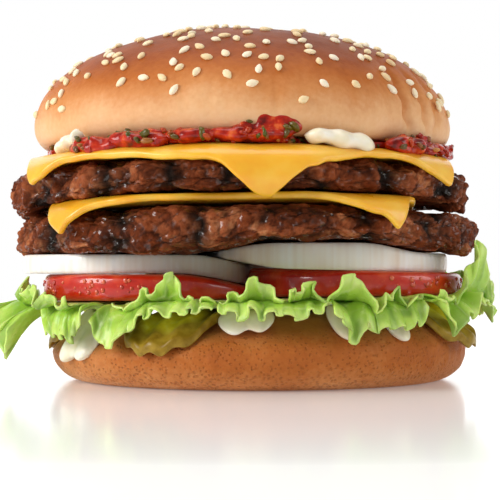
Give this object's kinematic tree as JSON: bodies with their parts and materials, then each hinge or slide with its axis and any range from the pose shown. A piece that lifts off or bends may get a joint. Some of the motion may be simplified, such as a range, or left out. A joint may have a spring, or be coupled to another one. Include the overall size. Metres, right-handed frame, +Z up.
{
  "type": "hamburger",
  "caption": "Double cheeseburger in a sesame bun with grilled patties, melted cheese, red relish, mayonnaise, onion, tomato, frilled lettuce and crinkle-cut pickles",
  "frame": {"origin": "centre of the heel bun's flat foot, on the surface it stands on", "axes": "+Z up through the stack, +X to the right of the pictured side, -Y towards the viewer"},
  "size_m": [0.1399, 0.1319, 0.0992],
  "materials": {
    "baked_bun": "soft baked crust, satin, darker on top",
    "grilled_beef": "grilled minced beef, greasy gloss",
    "melted_cheese": "softened cheese slice, satin gloss",
    "red_relish": "wet chunky sauce, glossy",
    "mayonnaise": "smooth cream, glossy",
    "raw_onion": "moist cut onion, translucent edge",
    "raw_tomato": "moist skin and flesh, glossy",
    "lettuce_leaf": "fresh leaf, waxy sheen",
    "pickle_slice": "wet pickled cucumber, glossy"
  },
  "bodies": {
    "root": {"bun_crown": "baked_bun", "bun_heel": "baked_bun", "patty_lower": "grilled_beef", "patty_upper": "grilled_beef", "cheese_lower": "melted_cheese", "cheese_upper": "melted_cheese", "relish": "red_relish", "mayonnaise_left": "mayonnaise", "mayonnaise_front": "mayonnaise", "mayonnaise_front_right": "mayonnaise", "mayonnaise_right": "mayonnaise", "mayonnaise_back_right": "mayonnaise", "mayonnaise_back": "mayonnaise", "mayonnaise_back_left": "mayonnaise", "mayonnaise_upper_left": "mayonnaise", "mayonnaise_upper_right": "mayonnaise", "onion_left": "raw_onion", "onion_right": "raw_onion", "onion_back": "raw_onion", "tomato_left": "raw_tomato", "tomato_right": "raw_tomato", "tomato_back": "raw_tomato", "lettuce_left": "lettuce_leaf", "lettuce_left_fold": "lettuce_leaf", "lettuce_front_left": "lettuce_leaf", "lettuce_front": "lettuce_leaf", "lettuce_front_right": "lettuce_leaf", "lettuce_right": "lettuce_leaf", "lettuce_back_right": "lettuce_leaf", "lettuce_back_left": "lettuce_leaf", "lettuce_curl_left": "lettuce_leaf", "lettuce_curl_front_left": "lettuce_leaf", "lettuce_curl_front": "lettuce_leaf", "lettuce_curl_right": "lettuce_leaf", "lettuce_curl_far_right": "lettuce_leaf", "lettuce_curl_back_right": "lettuce_leaf", "lettuce_curl_back_left": "lettuce_leaf", "pickle_front": "pickle_slice", "pickle_right": "pickle_slice", "pickle_left": "pickle_slice"}
  },
  "joints": []
}
